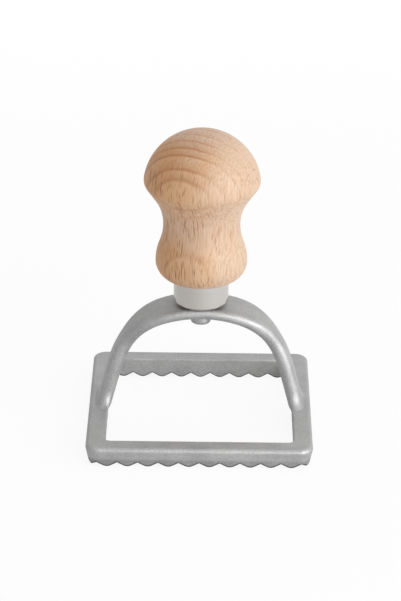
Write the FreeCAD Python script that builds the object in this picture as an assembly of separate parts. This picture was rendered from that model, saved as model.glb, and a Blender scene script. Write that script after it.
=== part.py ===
import FreeCAD, Part
import math
import os

# Ravioli stamp: a square scalloped cutter and its arched bridge, cast in one piece,
# with a turned wooden knob held in a metal ferrule by one screw.
# Millimetres, +Z up, origin in the middle of the cutter at the tips of its teeth.

# Cutting rim
rim_side = 70.0             # outside width at its widest, just under the top edge
rim_height = 6.45           # from the tooth tips to the flat top face
rim_width = 5.95            # flat top face and its rounded edges, outside to opening
outer_draft = 12.0          # degrees that the outside wall leans in towards the teeth
inner_draft = 2.2           # degrees that the opening widens towards the teeth
outer_corner = 4.5          # plan radius of the outside corners
inner_corner = 1.8          # plan radius of the opening's corners
outer_edge = 1.2            # rounding of the top face's outer edge
inner_edge = 0.5            # rounding of the top face's inner edge

# Teeth
tooth_pitch = 6.3           # front and back rows
side_pitch = 6.6            # left and right rows
teeth_per_side = 10         # whole teeth at the front, with one more wrapped round each front corner
back_shift = 0.5            # of a pitch, so that the back row has a tooth in its middle
side_shift = 0.25           # of a pitch towards the back, where the side rows end in a valley
blank_spare = 0.5           # how much deeper the rim is before its teeth are cut
cut_spare = 2.0             # how far the cut for a row of teeth reaches past the rim on each side
flank_angle = 30.0          # degrees, from level
tip_radius = 2.3            # of the front and back teeth

# Bridge, a bar of rounded section from the left rim over to the right rim
bridge_height = 40.75       # tooth tips to the bar's upper side at the crown
crown_thickness = 3.3
leg_thickness = 4.4
crown_width = 15.6
leg_width = 9.2
edge_share = 0.46           # rounding of the bar's long edges, as a share of its thickness
haunch_radius = 19.9
flank_radius = 33.9
crown_turn = 18.7           # degrees from level where the crown's arc meets the haunch
haunch_turn = 54.7          # degrees from level where the haunch meets the flank
leg_lean = 15.0             # degrees that the straight leg leans from upright
taper_drop = 12.9           # height below the crown over which the bar narrows
station_step = 1.6          # longest way between two sections of the bar
end_shares = (0.5, 0.2, 0.06, 0.02, 0.006, 0.0)     # of a step, crowded so that the end runs straight

# Feet of the bridge on the rim
foot_setback = 4.75         # middle of the leg to the rim's outside, at the top face
foot_reach = 3.2            # how far the foot spreads forwards and backwards
foot_rise = 4.5             # height above the rim where that spread begins
heel_reach = 0.5            # how far the foot spreads towards the rim's outside
foot_turn = 74.0            # degrees that the spread turns from upright towards level
foot_shares = (0.0, 0.2, 0.4, 0.58, 0.73, 0.85, 0.94, 1.0)      # of the way down the foot
root_depth = 2.3            # how far the leg runs down into the rim
root_shift = 1.7            # how far it moves outwards there, under the overhang
root_shares = (0.0, 0.4, 1.0)   # of the way down the root

# Fixing for the handle
seat_radius = 6.5
seat_height = 0.3           # above the crown
spot_depth = 0.15           # flat cut into the underside for the screw's head
screw_clearance = 0.2       # round the shank, in the crown and in the ferrule

# Ferrule
ferrule_radius = 8.57
ferrule_height = 8.24
ferrule_wall = 0.5
ferrule_floor = 0.6
ferrule_round = 0.7         # outside rounding of the drawn bottom corner

# Knob profile, arcs that run into each other from the top of the dome down
dome_radius = 18.2
dome_turn = 77.5            # degrees
brim_radius = 7.5
under_radius = 3.1
under_turn = 35.1           # degrees past upright, under the brim
under_length = 4.6          # straight stretch into the waist
upper_waist_radius = 15.5
lower_waist_radius = 17.0
waist_turn = 20.7           # degrees, from the narrowest place towards the bead
bead_lead = 0.7             # straight stretch into the bead
bead_radius = 15.2
bead_under_radius = 6.0
bead_under_turn = 40.2      # degrees
bead_bottom_radius = 5.0
tenon_clearance = 0.1       # round the tenon, inside the ferrule
tenon_gap = 0.4             # under the tenon's end

# Screw
shank_radius = 1.9
shank_length = 26.0         # under the head, with the point
point_length = 4.0
tip_end_radius = 0.3        # the point's blunt end
head_radius = 3.2
head_height = 4.0
head_round = 0.9
recess_span = 3.6           # across the arms of the cross recess
recess_arm = 0.8            # width of one arm
recess_depth = 1.6
pilot_clearance = 0.05      # round the shank, in the wood
pilot_extra = 1.5           # empty hole above the point

UP = FreeCAD.Vector(0, 0, 1)
TOUCH = 0.001               # how near an edge lies to a height or a side to count as on it
TOP = rim_height
CROWN = bridge_height
SEAT = CROWN + seat_height
FERRULE_TOP = SEAT + ferrule_height
HEAD_SEAT = CROWN - crown_thickness + spot_depth


def vec(x, y, z):
    return FreeCAD.Vector(x, y, z)


def rounded_square(half, corner, z):
    """Closed wire of a square with round corners, at height z."""
    flat = half - corner
    mid = flat + corner * math.cos(math.radians(45))
    edges = []
    for quarter in range(4):
        line = Part.makeLine(vec(half, -flat, z), vec(half, flat, z))
        arc = Part.Arc(vec(half, flat, z), vec(mid, mid, z), vec(flat, half, z)).toShape()
        for edge in (line, arc):
            edge.rotate(vec(0, 0, 0), UP, 90 * quarter)
            edges.append(edge)
    return Part.Wire(edges)


def tapered_block(half, corner, top, bottom, draft):
    """Square block whose half width at the top changes by draft degrees down to the bottom."""
    change = (top - bottom) * math.tan(math.radians(draft))
    ends = (rounded_square(half + change, corner + change, bottom), rounded_square(half, corner, top))
    return Part.makeLoft(list(ends), True, True)


def edges_at(shape, height, half=None):
    """Edges that lie wholly at one height, and with half only those within that half width."""
    found = []
    for edge in shape.Edges:
        box = edge.BoundBox
        reach = max(box.XMax, -box.XMin, box.YMax, -box.YMin)
        level = abs(box.ZMin - height) < TOUCH and abs(box.ZMax - height) < TOUCH
        if level and (half is None or reach < half + TOUCH):
            found.append(edge)
    return found


def tooth_depth():
    flank = math.radians(flank_angle)
    return tooth_pitch / 2 * math.tan(flank) - tip_radius * (1 / math.cos(flank) - 1)


def rim_blank():
    """Drafted square ring, a little deeper than the teeth that are cut into it."""
    lean = math.radians(outer_draft)
    edge_shift = outer_edge * (math.tan(lean) + 1 / math.cos(lean) - 1)
    outside = tapered_block(rim_side / 2 + edge_shift, outer_corner, TOP, -blank_spare, -outer_draft)
    outside = outside.makeFillet(outer_edge, edges_at(outside, TOP))
    opening_half = rim_side / 2 - rim_width
    opening = tapered_block(opening_half, inner_corner, TOP, -2 * blank_spare, inner_draft)
    ring = outside.cut(opening)
    return ring.makeFillet(inner_edge, edges_at(ring, TOP, opening_half))


def wave_edges(y, pitch, shift):
    """Lower outline of one row of teeth in the plane of y, from left to right, moved by a
    share of its pitch. Every row has teeth of one depth."""
    flank = math.radians(flank_angle)
    depth = tooth_depth()
    radius = (pitch / 2 * math.tan(flank) - depth) / (1 / math.cos(flank) - 1)
    tip_half = radius * math.sin(flank)
    tip_rise = radius * (1 - math.cos(flank))
    edges = []
    for index in range(-2, teeth_per_side + 2):
        centre = (index - (teeth_per_side - 1) / 2 + shift) * pitch
        valley_left = vec(centre - pitch / 2, y, depth)
        valley_right = vec(centre + pitch / 2, y, depth)
        arc_left = vec(centre - tip_half, y, tip_rise)
        arc_right = vec(centre + tip_half, y, tip_rise)
        edges.append(Part.makeLine(valley_left, arc_left))
        edges.append(Part.Arc(arc_left, vec(centre, y, 0), arc_right).toShape())
        edges.append(Part.makeLine(arc_right, valley_right))
    return edges


def wave_cutter(pitch, shift):
    """All that lies below one side's teeth, mitred at the corners."""
    low = -cut_spare
    outer = rim_side / 2 + cut_spare
    inner = rim_side / 2 - rim_width - cut_spare
    edges = wave_edges(-outer, pitch, shift)
    first = edges[0].Vertexes[0].Point
    last = edges[-1].Vertexes[-1].Point
    low_right = vec(last.x, -outer, low)
    low_left = vec(first.x, -outer, low)
    edges.append(Part.makeLine(last, low_right))
    edges.append(Part.makeLine(low_right, low_left))
    edges.append(Part.makeLine(low_left, first))
    block = Part.Face(Part.Wire(edges)).extrude(vec(0, outer - inner, 0))
    base = 2 * low
    mitre = [vec(-outer, -outer, base), vec(outer, -outer, base), vec(inner, -inner, base),
             vec(-inner, -inner, base)]
    wedge = Part.Face(Part.makePolygon(mitre + [mitre[0]])).extrude(vec(0, 0, TOP - base))
    return block.common(wedge)


def cutting_rim():
    """The teeth run on round all four corners. There is a tooth at each front corner and a
    valley at each back corner. The order of the rows is front, right, back, left."""
    rim = rim_blank()
    rows = ((tooth_pitch, 0), (side_pitch, side_shift), (tooth_pitch, back_shift), (side_pitch, -side_shift))
    for side, (pitch, shift) in enumerate(rows):
        cutter = wave_cutter(pitch, shift)
        cutter.rotate(vec(0, 0, 0), UP, 90 * side)
        rim = rim.cut(cutter)
    return rim


def leg_turn():
    """Turn of the straight leg from level."""
    return math.radians(90 - leg_lean)


def bridge_path():
    """Middle line of the right half of the bridge, from the crown nearly to the foot: position,
    and turn from level. The crown's radius and the straight leg's length follow from the
    height and the foot's place."""
    turns = [math.radians(crown_turn), math.radians(haunch_turn), leg_turn()]
    sines = [math.sin(a) for a in turns]
    cosines = [math.cos(a) for a in turns]
    top = CROWN - crown_thickness / 2
    run = rim_side / 2 - foot_setback
    run -= haunch_radius * (sines[1] - sines[0]) + flank_radius * (sines[2] - sines[1])
    drop = top - TOP
    drop -= haunch_radius * (cosines[0] - cosines[1]) + flank_radius * (cosines[1] - cosines[2])
    spread = sines[0] * sines[2] - (1 - cosines[0]) * cosines[2]
    crown_radius = (run * sines[2] - drop * cosines[2]) / spread
    stations = [(0.0, top, 0.0)]
    arcs = ((crown_radius, 0.0, turns[0]), (haunch_radius, turns[0], turns[1]),
            (flank_radius, turns[1], turns[2]))
    for radius, start, end in arcs:
        x0, z0 = stations[-1][:2]
        steps = math.ceil(radius * (end - start) / station_step)
        for step in range(1, steps + 1):
            turn = start + (end - start) * step / steps
            x = x0 + radius * (math.sin(turn) - math.sin(start))
            z = z0 - radius * (math.cos(start) - math.cos(turn))
            stations.append((x, z, turn))
    x0, z0, turn = stations[-1]
    length = (z0 - TOP - foot_rise) / math.sin(turn) - leg_thickness / 2
    steps = math.ceil(length / station_step)
    ways = [length * step / steps for step in range(1, steps)]
    if steps > 0:
        ways += [length - length / steps * share for share in end_shares]
    for way in ways:
        stations.append((x0 + way * math.cos(turn), z0 - way * math.sin(turn), turn))
    return stations


def bar_section(x, z, turn, half_width, inner, outer, nose):
    """Rounded section of the bar. inner and outer are the distances from the middle line to
    the bar's lower and upper side, and nose is how far the rounding reaches across."""
    across = vec(0, 1, 0)
    out = vec(math.sin(turn), 0, math.cos(turn))
    middle = vec(x, 0, z)
    depth = edge_share * (inner + outer)

    def point(side, height):
        return middle + across * side + out * height

    quarters = []
    for side, height, sign in ((1, outer, 1), (-1, outer, 1), (-1, -inner, -1), (1, -inner, -1)):
        level = point(side * (half_width - nose), height)
        upright = point(side * half_width, height - sign * depth)
        quarter = Part.BezierCurve()
        ends = (upright, level) if side * sign > 0 else (level, upright)
        quarter.setPoles([ends[0], point(side * half_width, height), ends[1]])
        quarter.setWeight(2, math.cos(math.radians(45)))
        quarters.append(quarter.toShape())
    edges = []
    for index, arc in enumerate(quarters):
        following = quarters[(index + 1) % 4]
        edges.append(arc)
        edges.append(Part.makeLine(arc.Vertexes[-1].Point, following.Vertexes[0].Point))
    return Part.Wire(edges)


def smooth_step(share):
    share = min(1.0, max(0.0, share))
    return share * share * (3 - 2 * share)


def bar_values(x, z, turn):
    """Sizes of the bar's section at one station of its path."""
    narrowing = smooth_step((CROWN - crown_thickness / 2 - z) / taper_drop)
    half_width = (crown_width + (leg_width - crown_width) * narrowing) / 2
    thickening = smooth_step(turn / leg_turn())
    thickness = crown_thickness + (leg_thickness - crown_thickness) * thickening
    return x, z, turn, half_width, thickness / 2, thickness / 2, edge_share * thickness


def foot_values(share):
    """Level section of the foot, a share of the way down from the bar to the rim's top face."""
    z = TOP + foot_rise * (1 - share)
    x = rim_side / 2 - foot_setback - (z - TOP) * math.tan(math.radians(leg_lean))
    swing = math.asin(share * math.sin(math.radians(foot_turn)))
    flare = (1 - math.cos(swing)) / (1 - math.cos(math.radians(foot_turn)))
    half_thick = leg_thickness / 2 / math.cos(math.radians(leg_lean))
    return (x, z, math.radians(90), leg_width / 2 + foot_reach * flare, half_thick,
            half_thick + heel_reach * flare, edge_share * leg_thickness + foot_reach * flare)


def root_values(share):
    """Level section of the foot's root inside the rim. Its inner side moves outwards with
    the leg, and further, until it is under the rim's top face."""
    x, z, turn, half_width, inner, outer, nose = foot_values(1.0)
    down = root_depth * share
    lean_shift = down * math.tan(math.radians(leg_lean))
    return x, z - down, turn, half_width, inner - lean_shift - root_shift * share * share, outer, nose


def mirrored(values):
    return (-values[0], values[1], -values[2]) + values[3:]


def bridge():
    """One long loft from leg to leg. At each end follow a straight stretch that is cut level,
    a spread foot and its root."""
    bar = [bar_values(*station) for station in bridge_path()]
    feet = [foot_values(share) for share in foot_shares]
    roots = [root_values(share) for share in root_shares]
    left = [mirrored(values) for values in reversed(bar[1:])]
    body = Part.makeLoft([bar_section(*values) for values in left + bar], True, False)
    for run, straight in (([bar[-1], feet[0]], True), (feet, False), (roots, False)):
        for sections in (run, [mirrored(values) for values in run]):
            wires = [bar_section(*values) for values in sections]
            body = body.fuse(Part.makeLoft(wires, True, straight))
    return body


def cutter_frame():
    """Rim, bridge and handle seat, one casting."""
    body = cutting_rim().fuse(bridge())
    seat_root = crown_thickness / 2
    body = body.fuse(Part.makeCylinder(seat_radius, seat_root + seat_height, vec(0, 0, CROWN - seat_root)))
    through = 2 * crown_thickness
    hole_radius = shank_radius + screw_clearance
    hole = Part.makeCylinder(hole_radius, through, vec(0, 0, SEAT - through))
    spot_radius = head_radius + screw_clearance
    spot = Part.makeCylinder(spot_radius, crown_thickness, vec(0, 0, HEAD_SEAT - crown_thickness))
    return body.cut(hole).cut(spot).removeSplitter()


def ferrule():
    """Drawn metal cup, open at the top, with a hole in its floor for the screw."""
    cup = Part.makeCylinder(ferrule_radius, ferrule_height, vec(0, 0, SEAT))
    cup = cup.makeFillet(ferrule_round, edges_at(cup, SEAT))
    floor_top = SEAT + ferrule_floor
    hollow = Part.makeCylinder(ferrule_radius - ferrule_wall, ferrule_height, vec(0, 0, floor_top))
    hollow = hollow.makeFillet(ferrule_round - ferrule_wall, edges_at(hollow, floor_top))
    hole_radius = shank_radius + screw_clearance
    hole = Part.makeCylinder(hole_radius, 3 * ferrule_floor, vec(0, 0, SEAT - ferrule_floor))
    return cup.cut(hollow).cut(hole)


def turned_profile(spans):
    """Run of tangent arcs and straights in the XZ plane from (0, 0), heading outwards.
    Each span is (radius, degrees), where positive degrees turn down, or (length, 0)."""
    x, z, heading = 0.0, 0.0, 0.0
    edges = []
    for size, degrees in spans:
        if degrees == 0:
            end = (x + size * math.cos(heading), z - size * math.sin(heading))
            edges.append(Part.makeLine(vec(x, 0, z), vec(end[0], 0, end[1])))
        else:
            side = 1 if degrees > 0 else -1
            centre = (x - side * size * math.sin(heading), z - side * size * math.cos(heading))
            turns = (heading + math.radians(degrees) / 2, heading + math.radians(degrees))
            middle, end = [(centre[0] + side * size * math.sin(t), centre[1] + side * size * math.cos(t))
                           for t in turns]
            arc = Part.Arc(vec(x, 0, z), vec(middle[0], 0, middle[1]), vec(end[0], 0, end[1]))
            edges.append(arc.toShape())
            heading = turns[1]
        x, z = end
    return edges, x, z


def knob():
    """Mushroom knob with a waist and a bead, and a tenon that fills the ferrule."""
    brim_turn = 90 - dome_turn
    lowest_turn = 90 - bead_under_turn
    spans = [(dome_radius, dome_turn), (brim_radius, brim_turn), (under_radius, under_turn),
             (under_length, 0), (upper_waist_radius, -under_turn), (lower_waist_radius, -waist_turn),
             (bead_lead, 0), (bead_radius, waist_turn), (bead_under_radius, bead_under_turn),
             (bead_bottom_radius, lowest_turn)]
    edges, shoulder_x, shoulder_z = turned_profile(spans)
    tenon_x = ferrule_radius - ferrule_wall - tenon_clearance
    tenon_z = shoulder_z - (ferrule_height - ferrule_floor - tenon_gap)
    corners = [vec(shoulder_x, 0, shoulder_z), vec(tenon_x, 0, shoulder_z), vec(tenon_x, 0, tenon_z),
               vec(0, 0, tenon_z), vec(0, 0, 0)]
    for start, end in zip(corners, corners[1:]):
        edges.append(Part.makeLine(start, end))
    body = Part.Face(Part.Wire(edges)).revolve(vec(0, 0, 0), UP, 360)
    body.translate(vec(0, 0, FERRULE_TOP - shoulder_z))
    pilot_top = HEAD_SEAT + shank_length + pilot_extra
    pilot = Part.makeCylinder(shank_radius + pilot_clearance, pilot_top - SEAT, vec(0, 0, SEAT))
    return body.cut(pilot)


def screw():
    """Screw from below: a rounded head with a cross recess, a shank and a point."""
    head = Part.makeCylinder(head_radius, head_height, vec(0, 0, HEAD_SEAT - head_height))
    head = head.makeFillet(head_round, edges_at(head, HEAD_SEAT - head_height))
    shank = Part.makeCylinder(shank_radius, shank_length - point_length, vec(0, 0, HEAD_SEAT))
    point_base = HEAD_SEAT + shank_length - point_length
    point = Part.makeCone(shank_radius, tip_end_radius, point_length, vec(0, 0, point_base))
    body = head.fuse(shank).fuse(point).removeSplitter()
    low = HEAD_SEAT - head_height
    for turn in (0, 90):
        corner = vec(-recess_span / 2, -recess_arm / 2, low)
        arm = Part.makeBox(recess_span, recess_arm, recess_depth, corner)
        arm.rotate(vec(0, 0, 0), UP, turn)
        body = body.cut(arm)
    return body


os.makedirs("parts", exist_ok=True)
for make in (cutter_frame, ferrule, knob, screw):
    name = make.__name__
    shape = make()
    shape.exportStep("parts/" + name + ".step")
    print(name, "solids", len(shape.Solids), "valid", shape.isValid(), "volume", round(shape.Volume, 1))
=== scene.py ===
# %% [markdown]
# # A stamp for square ravioli
# The tool has four pieces: a scalloped square cutter cast in one with its arched bridge,
# a thin metal ferrule on the crown of the arch, a turned beech knob in the ferrule, and
# one screw that holds them together from below. Their solids arrive finished and stay
# where they are. This lesson gives them their surfaces, then a camera and soft light.

# %% Load the solids
import math
import bpy
from mathutils import Matrix, Vector

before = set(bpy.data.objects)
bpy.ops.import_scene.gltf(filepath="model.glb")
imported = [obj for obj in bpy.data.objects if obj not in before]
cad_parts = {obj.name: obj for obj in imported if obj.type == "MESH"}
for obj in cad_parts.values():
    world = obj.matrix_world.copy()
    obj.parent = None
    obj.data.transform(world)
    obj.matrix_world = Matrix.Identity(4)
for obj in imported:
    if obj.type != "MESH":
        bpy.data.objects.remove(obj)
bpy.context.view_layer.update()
for node_name, node_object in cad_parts.items():
    print(node_name, len(node_object.data.polygons), "faces")

# %% [markdown]
# ## Measures for the surfaces
# Every object here is in metres, but grain, rings and flecks are easier to think of in
# millimetres, so each material starts by turning the object's own coordinates into
# millimetres. Coordinates of the object move with it and look the same from every side.
# Unwrapped coordinates would also do, but a solid pattern such as wood grain runs right
# through a piece, and object coordinates give that for nothing.

# %% Small helpers for node trees
MM = 0.001      # metres


def add(tree, kind, inputs=None, **settings):
    """Adds a node, sets its options, and fills or links its inputs."""
    node = tree.nodes.new("ShaderNode" + kind)
    for option, value in settings.items():
        setattr(node, option, value)
    for key, value in (inputs or {}).items():
        if isinstance(value, bpy.types.NodeSocket):
            tree.links.new(value, node.inputs[key])
        else:
            node.inputs[key].default_value = value
    return node


def math_node(tree, operation, first, second=None):
    inputs = {0: first} if second is None else {0: first, 1: second}
    return add(tree, "Math", inputs, operation=operation).outputs[0]


def product(tree, first, second):
    return math_node(tree, "MULTIPLY", first, second)


def larger(tree, first, second):
    return math_node(tree, "MAXIMUM", first, second)


def shifted(tree, vector, by):
    return add(tree, "VectorMath", {0: vector, 1: by}, operation="ADD").outputs[0]


def stretched(tree, vector, factors):
    """The same vector with each of its three parts scaled."""
    return add(tree, "VectorMath", {0: vector, 1: factors}, operation="MULTIPLY").outputs[0]


def parts(tree, vector):
    return add(tree, "SeparateXYZ", {0: vector}).outputs


def faded(tree, value, low, high, to_low=0.0, to_high=1.0):
    """Smooth change from to_low to to_high while value goes from low to high."""
    inputs = {"Value": value, "From Min": low, "From Max": high,
              "To Min": to_low, "To Max": to_high}
    return add(tree, "MapRange", inputs, interpolation_type="SMOOTHSTEP").outputs[0]


def mixed(tree, share, first, second):
    """Mix of two colours. A mix node takes colours at 6 and 7, and gives one at 2."""
    inputs = {0: share, 6: first, 7: second}
    return add(tree, "Mix", inputs, data_type="RGBA").outputs[2]


def noise(tree, vector, scale, detail=2.0, rough=0.5):
    inputs = {"Vector": vector, "Scale": scale, "Detail": detail, "Roughness": rough}
    return add(tree, "TexNoise", inputs).outputs[0]


def grey(level):
    return (level, level, level, 1.0)


# %% Helpers for the materials of the pieces
def new_surface(name, turn=0.0):
    """Empty material with a shader and coordinates in millimetres, turned about the upright."""
    material = bpy.data.materials.new(name)
    material.use_nodes = True
    tree = material.node_tree
    tree.nodes.clear()
    shader = add(tree, "BsdfPrincipled")
    add(tree, "OutputMaterial", {0: shader.outputs[0]})
    place = add(tree, "TexCoord").outputs["Object"]
    mapping = add(tree, "Mapping", {"Vector": place, "Scale": (1 / MM, 1 / MM, 1 / MM),
                                    "Rotation": (0, 0, math.radians(turn))})
    return material, tree, shader, mapping.outputs[0]


def join_up(tree, shader, colour, roughness, bump):
    """Links the three patterns that the surface of every piece has."""
    tree.links.new(colour, shader.inputs["Base Color"])
    tree.links.new(roughness, shader.inputs["Roughness"])
    tree.links.new(bump.outputs[0], shader.inputs["Normal"])


def give(node_name, material):
    """Puts a material on one of the finished solids."""
    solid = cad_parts[node_name]
    solid.data.materials.clear()
    solid.data.materials.append(material)
    for slot in solid.material_slots:
        slot.material = material
    print(node_name, "wears", material.name)


# %% [markdown]
# ## Beech: growth rings
# The knob is turned from a stick of beech whose fibres run upright. Growth rings are
# sheets of slightly darker wood that curve round the heart of the tree, which was far
# behind the stick. The rounded top cuts through these sheets and shows them as nested
# arcs. A ready-made ring texture has even rings, and real ones aren't even, so here a
# colour ramp over the distance from the heart holds each ring at its own place. Within a
# ring the wood slowly darkens, and then turns pale at once where the next spring began.

# %% Growth rings
RING_FACING = 21.1      # degrees to the left of the front that the rings face
HEART_AWAY = 47.2       # mm from the stick's middle to the heart of the tree
RING_LEAN = 0.055       # how far the sheets of wood lean outwards, as a share of the height
LEAN_FROM = 88.0        # mm above the table where the distances below are measured
RINGS = (               # mm outwards from the stick's middle, late wood there and beyond it
    (-12.6, 0.6, 0.05), (-9.2, 0.8, 0.05), (-5.4, 0.6, 0.05), (-2.0, 0.6, 0.05),
    (2.6, 0.6, 0.05), (6.05, 0.80, 0.28), (8.8, 1.0, 0.34), (11.1, 1.0, 0.12),
    (14.6, 0.9, 0.10), (16.6, 0.75, 0.10))
DARKENING, DARKEST, SPRING = -0.75, -0.15, 0.25     # mm from there to a ring's three stops
DARKENING_SHARE = 0.45  # late wood at the first stop, as a share of that at the second
RING_SPAN = 20.0        # mm to each side of the stick's middle that the ramp covers
SPAN_END = 0.1          # late wood at both ends of the ramp
WANDER = 0.9            # mm over which the rings wander
WANDER_SCALE = (0.13, 0.13, 0.05)                   # how quickly they do, per mm

beech, wood, beech_shader, turned_place = new_surface("beech", 90.0 + RING_FACING)
from_heart = shifted(wood, turned_place, (HEART_AWAY, 0, 0))
flat_place = stretched(wood, from_heart, (1, 1, 0))
radius = add(wood, "VectorMath", {0: flat_place}, operation="LENGTH").outputs["Value"]
turned_parts = parts(wood, turned_place)
along_ring, height = turned_parts[1], turned_parts[2]
lean = product(wood, math_node(wood, "SUBTRACT", LEAN_FROM, height), RING_LEAN)
wander = noise(wood, stretched(wood, from_heart, WANDER_SCALE), 1.0, 1.0)
wander = product(wood, math_node(wood, "SUBTRACT", wander, 0.5), WANDER)
outwards = math_node(wood, "ADD", math_node(wood, "ADD", radius, lean), wander)
ring_place = add(wood, "MapRange", {"Value": outwards, "From Min": HEART_AWAY - RING_SPAN,
                                    "From Max": HEART_AWAY + RING_SPAN}).outputs[0]
late_wood = add(wood, "ValToRGB", {"Fac": ring_place})
ramp = late_wood.color_ramp
for end in ramp.elements:
    end.color = grey(SPAN_END)
for distance, strength, beyond in RINGS:
    for shift, late in ((DARKENING, DARKENING_SHARE * strength), (DARKEST, strength),
                        (SPRING, beyond)):
        stop = ramp.elements.new((distance + shift + RING_SPAN) / (2 * RING_SPAN))
        stop.color = grey(late)
late_share = late_wood.outputs[0]
print(len(RINGS), "rings in", len(ramp.elements), "stops")

# %% [markdown]
# ## Beech: rays and fibres
# Beech is full of rays, thin brown plates that stand on end and point at the heart. Where
# the surface meets them edge on they show as short dark dashes, and where it runs along
# them as broader flakes. One pattern in three dimensions gives both, so cells are
# stretched along the heart's direction and along the fibre, and squeezed along the ring.
# A large and a small set overlap, because real rays come in all sizes. Both waver a
# little, and both grow fainter towards the right of the knob and near its top.

# %% Rays
RAY_CELL, SMALL_CELL = (9.0, 0.55, 12.0), (5.0, 0.44, 4.6)  # mm outwards, along a ring, upright
RAY_REACH, SMALL_REACH = 0.30, 0.33     # how far a fleck reaches, as a share of its cell
FULL_REACH = 0.45       # how far it keeps its full strength, as a share of that reach
EMPTY, FULL = 0.05, 0.40                # a cell's chance, empty up to one and full from the other
WAVER = 1.1             # mm that rays waver along the ring
WAVER_SCALE = (0.3, 0.3, 0.12)          # how quickly they do, per mm
RAYS_RIGHT = (-3.0, 10.0, 1.0, 0.20)    # from and to in mm along the ring, strengths there
SMALL_RIGHT = (3.0, 13.0, 0.80, 0.22)
RAYS_ABOVE = (86.0, 90.0, 1.0, 0.35)    # from and to in mm of height, strengths there
FIBRE_SCALE = (1.3, 2.4, 0.11)          # how quickly fibres change, per mm
PATCH_SCALE = (0.11, 0.11, 0.04)        # and the broad patches of tone


def dashes(tree, vector, cell_size, reach):
    """Lens-shaped flecks, one in each cell, some faint and most of them full."""
    scale = tuple(1 / size for size in cell_size)
    cells = add(tree, "TexVoronoi", {"Vector": stretched(tree, vector, scale),
                                     "Scale": 1.0, "Randomness": 1.0})
    fleck = faded(tree, cells.outputs["Distance"], reach * FULL_REACH, reach, 1.0, 0.0)
    chance = add(tree, "SeparateColor", {0: cells.outputs["Color"]}).outputs[0]
    return product(tree, fleck, faded(tree, chance, EMPTY, FULL))


wave = noise(wood, stretched(wood, turned_place, WAVER_SCALE), 1.0, 1.0)
waver = add(wood, "CombineXYZ", {1: product(wood, wave, WAVER)}).outputs[0]
wavering_place = shifted(wood, turned_place, waver)
faint_above = faded(wood, height, *RAYS_ABOVE)
ray_faint = product(wood, faded(wood, along_ring, *RAYS_RIGHT), faint_above)
ray_share = product(wood, dashes(wood, wavering_place, RAY_CELL, RAY_REACH), ray_faint)
small_faint = product(wood, faded(wood, along_ring, *SMALL_RIGHT), faint_above)
small_share = product(wood, dashes(wood, wavering_place, SMALL_CELL, SMALL_REACH), small_faint)
fibre = noise(wood, stretched(wood, turned_place, FIBRE_SCALE), 1.0, 3.0, 0.6)
patch = noise(wood, stretched(wood, turned_place, PATCH_SCALE), 1.0, 2.0)
print("rays in cells of", RAY_CELL, "and", SMALL_CELL, "mm")

# %% [markdown]
# ## Beech: colour
# Steamed beech is a pale orange brown, more orange in the late wood of each ring. The
# knob is painted paler towards the right and more orange towards the left: painted light
# from the lamps on the right. The very top is painted greyer as a painted highlight from
# the light above, and the waist is greyer too, where the hand goes. Mixing a few close
# colours by the patterns above keeps all of that soft.

# %% Colour of the wood
# The first two colours are painted light: paler on the lit right of the knob, more orange on its
# shaded left.
PAINTED_LIT_WOOD = (0.715, 0.530, 0.380, 1)
WARM_WOOD = (0.700, 0.400, 0.200, 1)
LATE_WOOD = (0.450, 0.185, 0.060, 1)
GREY_WOOD = (0.680, 0.505, 0.380, 1)
RAY_BROWN = (0.250, 0.080, 0.022, 1)
PATCH_REACH = 24.0                      # mm by which patches move the border of warm and pale
PAINTED_LIGHT_RIGHT = (0.0, 26.0)                # mm along the ring over which warm turns to pale
# The greyer top is a painted highlight from the light above.
PAINTED_HIGHLIGHT_TOP = (92.5, 96.5, 0.0, 0.75)      # from and to in mm of height, shares there
GREY_WAIST_BELOW = (61.0, 69.0, 0.0, 1.0)
GREY_WAIST_ABOVE = (73.0, 80.0, 0.55, 0.0)
RINGS_ABOVE = (72.0, 86.0, 0.42, 0.95)  # the same for how clearly rings show
RINGS_RIGHT = (1.0, 11.0, 1.0, 0.25)    # from and to in mm along the ring, shares there
FIBRE_TINT = (0.38, 0.72, 0.0, 0.42)    # from and to in the fibres, shares of late wood there

# Painted light: the wood turns from warm to pale towards the lit right.
cloudy_place = math_node(wood, "ADD", along_ring, product(wood, patch, PATCH_REACH))
ground = mixed(wood, faded(wood, cloudy_place, *PAINTED_LIGHT_RIGHT), WARM_WOOD, PAINTED_LIT_WOOD)
waist_share = product(wood, faded(wood, height, *GREY_WAIST_BELOW),
                      faded(wood, height, *GREY_WAIST_ABOVE))
# Painted highlight at the top, and a greyer waist where the hand goes.
grey_share = larger(wood, faded(wood, height, *PAINTED_HIGHLIGHT_TOP), waist_share)
ground = mixed(wood, grey_share, ground, GREY_WOOD)
ring_strength = product(wood, faded(wood, height, *RINGS_ABOVE),
                        faded(wood, along_ring, *RINGS_RIGHT))
ringed = mixed(wood, product(wood, late_share, ring_strength), ground, LATE_WOOD)
fibred = mixed(wood, faded(wood, fibre, *FIBRE_TINT), ringed, LATE_WOOD)
speckled = mixed(wood, small_share, fibred, RAY_BROWN)
wood_colour = mixed(wood, ray_share, speckled, RAY_BROWN)
print("beech has", len(wood.nodes), "nodes")

# %% Feel of the turned wood
RAY_DEPTH = 0.5                         # how deep rays lie, as a share of the fibres' relief
WOOD_ROUGH = (0.2, 0.8, 0.50, 0.64)     # from and to in the fibres, roughness there

wood_height = math_node(wood, "SUBTRACT", fibre, product(wood, ray_share, RAY_DEPTH))
wood_bump = add(wood, "Bump", {"Height": wood_height, "Strength": 0.35, "Distance": 0.12 * MM})
join_up(wood, beech_shader, wood_colour, faded(wood, fibre, *WOOD_ROUGH), wood_bump)
beech_shader.inputs["Specular IOR Level"].default_value = 0.5
beech_shader.inputs["Sheen Weight"].default_value = 0.2
beech_shader.inputs["Sheen Roughness"].default_value = 0.4
give("knob", beech)
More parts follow.
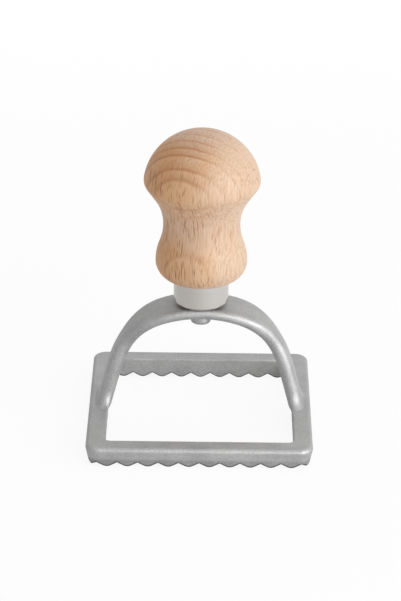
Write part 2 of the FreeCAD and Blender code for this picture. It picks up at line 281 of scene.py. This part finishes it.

# %% [markdown]
# ## Cast aluminium
# Cutter and bridge are one casting, tumbled until it is satin. Up close the skin has a
# fine tooth from the mould, with slow changes in tone and gloss across each face. A
# scanned picture of a casting would show that too, but noise of two sizes in colour,
# roughness and bump gives it without any picture and without a repeat. A thin dark line of
# painted shade, the contact shadow under the teeth, follows their lower edges. Any surface
# that faces down within 3 mm of the table takes it, and broadly rounded normals carry it
# over the edges, which is simpler than a narrow shape along every tooth.

# %% The casting's skin
CAST_DARK, CAST_LIGHT = (0.429, 0.430, 0.430, 1), (0.497, 0.497, 0.495, 1)
SPECK = (0.25, 0.25, 0.25, 1)
# Painted shade: the contact shadow along the lower edges of the teeth.
PAINTED_TOOTH_SHADE = (0.03, 0.03, 0.03, 1)
GRAIN_SCALE, CLOUD_SCALE = 2.0, 0.16    # how quickly grain and clouds change, per mm
CLOUD_TONE = (0.3, 0.7)                 # from dark to light in the clouds
SPECK_TINT = (0.40, 0.72, 0.0, 0.55)    # from and to in the grain, shares of speck there
CAST_ROUGH = (0.25, 0.75, 0.54, 0.64)   # from and to in the clouds, roughness there
EDGE_ROUND = 0.35                       # mm, the softness of the edges that tumbling leaves
LINE_REACH = 0.80                       # mm, how broadly normals are rounded for the line
LINE_HEIGHT = (2.0, 3.0, 0.92, 0.0)     # from and to in mm of height, shares of the line
LINE_FACING = (-0.42, -0.10, 1.0, 0.0)  # the same over the upward part of the normal

cast, metal, cast_shader, cast_place = new_surface("cast_aluminium")
grain = noise(metal, cast_place, GRAIN_SCALE, 4.0, 0.7)
cloud = noise(metal, cast_place, CLOUD_SCALE, 3.0)
cast_tone = mixed(metal, faded(metal, cloud, *CLOUD_TONE), CAST_DARK, CAST_LIGHT)
cast_tone = mixed(metal, faded(metal, grain, *SPECK_TINT), cast_tone, SPECK)
soft_edges = add(metal, "Bevel", {"Radius": EDGE_ROUND * MM}, samples=8)
wide_edges = add(metal, "Bevel", {"Radius": LINE_REACH * MM}, samples=8)
facing_up = parts(metal, wide_edges.outputs[0])[2]
low_down = faded(metal, parts(metal, cast_place)[2], *LINE_HEIGHT)
# Painted shade: low surfaces that face down are darkened like the contact shadow under the teeth.
painted_shade_share = product(metal, faded(metal, facing_up, *LINE_FACING), low_down)
cast_tone = mixed(metal, painted_shade_share, cast_tone, PAINTED_TOOTH_SHADE)
cast_bump = add(metal, "Bump", {"Height": grain, "Normal": soft_edges.outputs[0],
                                "Strength": 0.45, "Distance": 0.10 * MM})
join_up(metal, cast_shader, cast_tone, faded(metal, cloud, *CAST_ROUGH), cast_bump)
cast_shader.inputs["Metallic"].default_value = 0.92
give("cutter_frame", cast)

# %% [markdown]
# ## Ferrule
# The cup under the knob is thin drawn metal, polished on the lathe. Polishing leaves very
# fine lines round it, so the noise is stretched along the turn: it changes quickly with
# height and hardly at all sideways.

# %% Polished metal
POLISH_DARK, POLISH_LIGHT = (0.570, 0.543, 0.511, 1), (0.660, 0.630, 0.596, 1)
LINES_SCALE = (0.05, 0.05, 9.0)         # how quickly the lines change, per mm
POLISH_ROUGH = (0.2, 0.8, 0.10, 0.17)   # from and to in the lines, roughness there

polished, sheen, polished_shader, ferrule_place = new_surface("polished_ferrule")
lines = noise(sheen, stretched(sheen, ferrule_place, LINES_SCALE), 1.0, 3.0, 0.6)
ferrule_tone = mixed(sheen, lines, POLISH_DARK, POLISH_LIGHT)
line_bump = add(sheen, "Bump", {"Height": lines, "Strength": 0.12, "Distance": 0.02 * MM})
join_up(sheen, polished_shader, ferrule_tone, faded(sheen, lines, *POLISH_ROUGH), line_bump)
polished_shader.inputs["Metallic"].default_value = 1.0
give("ferrule", polished)

# %% [markdown]
# ## Screw
# Only the head shows, under the crown of the arch. It is plated steel, close to the
# casting in tone but smoother, and a noise of its own makes the plating slightly cloudy.

# %% Plated steel
PLATE_DARK, PLATE_LIGHT = (0.385, 0.39, 0.395, 1), (0.53, 0.53, 0.53, 1)
HAZE_SCALE = 1.4                        # how quickly the clouds change, per mm
PLATE_ROUGH = (0.3, 0.7, 0.28, 0.42)    # from and to in the clouds, roughness there

plated, plating, plated_shader, screw_place = new_surface("plated_screw")
haze = noise(plating, screw_place, HAZE_SCALE, 3.0)
plated_tone = mixed(plating, haze, PLATE_DARK, PLATE_LIGHT)
haze_bump = add(plating, "Bump", {"Height": haze, "Strength": 0.15, "Distance": 0.03 * MM})
join_up(plating, plated_shader, plated_tone, faded(plating, haze, *PLATE_ROUGH), haze_bump)
plated_shader.inputs["Metallic"].default_value = 1.0
give("screw", plated)

# %% [markdown]
# ## Floor and surroundings
# The stamp stands on a white sheet in a white room. What the camera sees of the room is
# plain white, and the sheet mixes that white with an ordinary matt white, so that a soft
# shadow still shows under the rim. Metal shows the same white on its right, where the
# studio was bright, and a dimmer one on its left. Close to the stamp a reflection shows
# only the bare sheet with its shadows.

# %% White floor
FLOOR_RADIUS = 4.0      # metres

bpy.ops.mesh.primitive_circle_add(vertices=96, radius=FLOOR_RADIUS, fill_type="NGON")
floor = bpy.context.object
floor.name = "floor"
print("floor at", floor.location.z)

# %% Surface of the floor
FLOOR_MATT = 0.90                       # how white the bare sheet is
FLOOR_WHITE = 0.90                      # share of plain white near the stamp, for the camera
WHITE_FROM, WHITE_TO = 0.08, 0.45       # metres from the middle over which that goes to 1
FLOOR_MIRROR = 0.90                     # share of plain white in reflections
SHADE_FROM, SHADE_TO = 0.029, 0.0345    # metres from the middle over which that begins
DIM_LEFT = 0.66                         # strength of it at the left, which is 1 at the right
DIM_REACH = 0.13                        # metres to each side over which it changes


def seen_in_metal(tree, path):
    """1 for what a reflection or glass shows, and 0 otherwise."""
    return larger(tree, path["Is Glossy Ray"], path["Is Transmission Ray"])


def chosen(tree, switch, if_off, if_on):
    """if_off where the switch is 0, and if_on where it is 1."""
    return add(tree, "MapRange", {"Value": switch, "To Min": if_off, "To Max": if_on}).outputs[0]


white = bpy.data.materials.new("white_floor")
white.use_nodes = True
sheet = white.node_tree
sheet.nodes.clear()
floor_path = add(sheet, "LightPath").outputs
floor_place = parts(sheet, add(sheet, "TexCoord").outputs["Object"])
from_middle = larger(sheet, math_node(sheet, "ABSOLUTE", floor_place[0]),
                     math_node(sheet, "ABSOLUTE", floor_place[1]))
mirror_share = faded(sheet, from_middle, SHADE_FROM, SHADE_TO, 0.0, FLOOR_MIRROR)
far_share = faded(sheet, from_middle, WHITE_FROM, WHITE_TO, FLOOR_WHITE, 1.0)
glow_share = larger(sheet, product(sheet, floor_path["Is Camera Ray"], far_share),
                    product(sheet, seen_in_metal(sheet, floor_path), mirror_share))
across = faded(sheet, floor_place[0], -DIM_REACH, DIM_REACH, DIM_LEFT, 1.0)
glow_level = chosen(sheet, floor_path["Is Camera Ray"], across, 1.0)
matt = add(sheet, "BsdfDiffuse", {"Color": grey(FLOOR_MATT)})
glow = add(sheet, "Emission", {"Color": grey(1.0), "Strength": glow_level})
floor_mix = add(sheet, "MixShader", {0: glow_share, 1: matt.outputs[0], 2: glow.outputs[0]})
add(sheet, "OutputMaterial", {0: floor_mix.outputs[0]})
floor.data.materials.append(white)
print("floor wears", white.name)

# %% White room
ROOM_LEFT, ROOM_RIGHT = 0.51, 0.80      # light that reaches matt surfaces from each side
MIRROR_LEFT, MIRROR_RIGHT = 0.68, 1.0   # what reflections show of each side
ROOM_TURN, MIRROR_TURN = 0.9, 0.7       # how far sideways a direction points at those ends

room = bpy.data.worlds.new("white_room")
room.use_nodes = True
air = room.node_tree
air.nodes.clear()
sideways = parts(air, add(air, "TexCoord").outputs["Generated"])[0]
matt_level = faded(air, sideways, -ROOM_TURN, ROOM_TURN, ROOM_LEFT, ROOM_RIGHT)
mirror_level = faded(air, sideways, -MIRROR_TURN, MIRROR_TURN, MIRROR_LEFT, MIRROR_RIGHT)
room_path = add(air, "LightPath").outputs
object_level = chosen(air, seen_in_metal(air, room_path), matt_level, mirror_level)
room_level = chosen(air, room_path["Is Camera Ray"], object_level, 1.0)
room_light = add(air, "Background", {"Color": grey(1.0), "Strength": room_level})
add(air, "OutputWorld", {0: room_light.outputs[0]})
bpy.context.scene.world = room
print("room light", ROOM_LEFT, "to", ROOM_RIGHT)

# %% [markdown]
# ## Lamps
# A soft box stands close to the right of the tool and a little in front, so right-hand
# sides are lighter and the near end of each bar is lighter than its far end. A weaker one
# hangs high above, a little behind the tool, for the upper faces. Soft boxes give soft
# edges to both the shadows and the bright lines on metal. They are hidden from the
# camera, so that a view from another side doesn't show them. The card is a white board
# held near the front right corner: it is there for the shine alone.

# %% Soft boxes
AIM = Vector((0, 0, 0.04))      # metres, the point that all lamps face


def soft_box(name, place, size, power, lights_matt=True):
    """Square lamp: its place and size are in metres and its power in watts."""
    lamp = bpy.data.lights.new(name, "AREA")
    lamp.shape = "SQUARE"
    lamp.size = size
    lamp.energy = power
    holder = bpy.data.objects.new(name, lamp)
    holder.location = place
    holder.rotation_euler = (AIM - Vector(place)).to_track_quat("-Z", "Y").to_euler()
    holder.visible_camera = False
    holder.visible_diffuse = lights_matt
    bpy.context.scene.collection.objects.link(holder)
    print(name, "radiance", round(power / (math.pi * size * size), 2))


soft_box("key", (0.38, -0.34, 0.17), 0.50, 1.75)
soft_box("top", (0.10, 0.35, 1.10), 0.70, 1.4)
soft_box("card", (0.33, -0.42, 0.10), 0.44, 2.1, lights_matt=False)

# %% [markdown]
# ## Camera
# The view is worked out from the corners of the rim, the teeth and the knob: the camera
# stands 86 cm away and looks down by about 24 degrees through a long lens. It is turned a
# little about its own line of sight, because in the picture the tool isn't quite level.

# %% Camera at the picture's angle
CAMERA_AWAY = 857.7 * MM
CAMERA_DOWN = math.radians(24.444)
CAMERA_YAW = math.radians(0.158)
CAMERA_ROLL = math.radians(0.60)
CAMERA_TARGET = Vector((-0.15, 0, 40.81)) * MM
FOCAL_SHARE = 2745.7 / 601      # focal length as a share of the picture's height
SENSOR = 36.0                   # mm

back = Vector((math.sin(CAMERA_YAW) * math.cos(CAMERA_DOWN),
               -math.cos(CAMERA_YAW) * math.cos(CAMERA_DOWN), math.sin(CAMERA_DOWN)))
level = Vector((math.cos(CAMERA_YAW), math.sin(CAMERA_YAW), 0))
above = back.cross(level)
right = level * math.cos(CAMERA_ROLL) + above * math.sin(CAMERA_ROLL)
upward = above * math.cos(CAMERA_ROLL) - level * math.sin(CAMERA_ROLL)
stand = CAMERA_TARGET + back * CAMERA_AWAY
facing = Matrix((right, upward, back)).transposed().to_4x4()
lens = bpy.data.cameras.new("camera")
lens.sensor_fit = "VERTICAL"
lens.sensor_height = SENSOR
lens.lens = FOCAL_SHARE * SENSOR
camera = bpy.data.objects.new("camera", lens)
bpy.context.scene.collection.objects.link(camera)
camera.matrix_world = Matrix.Translation(stand) @ facing
bpy.context.scene.camera = camera
bpy.context.scene.view_settings.view_transform = "Standard"
print("lens", round(lens.lens, 2), "mm, camera at", [round(v, 4) for v in stand])
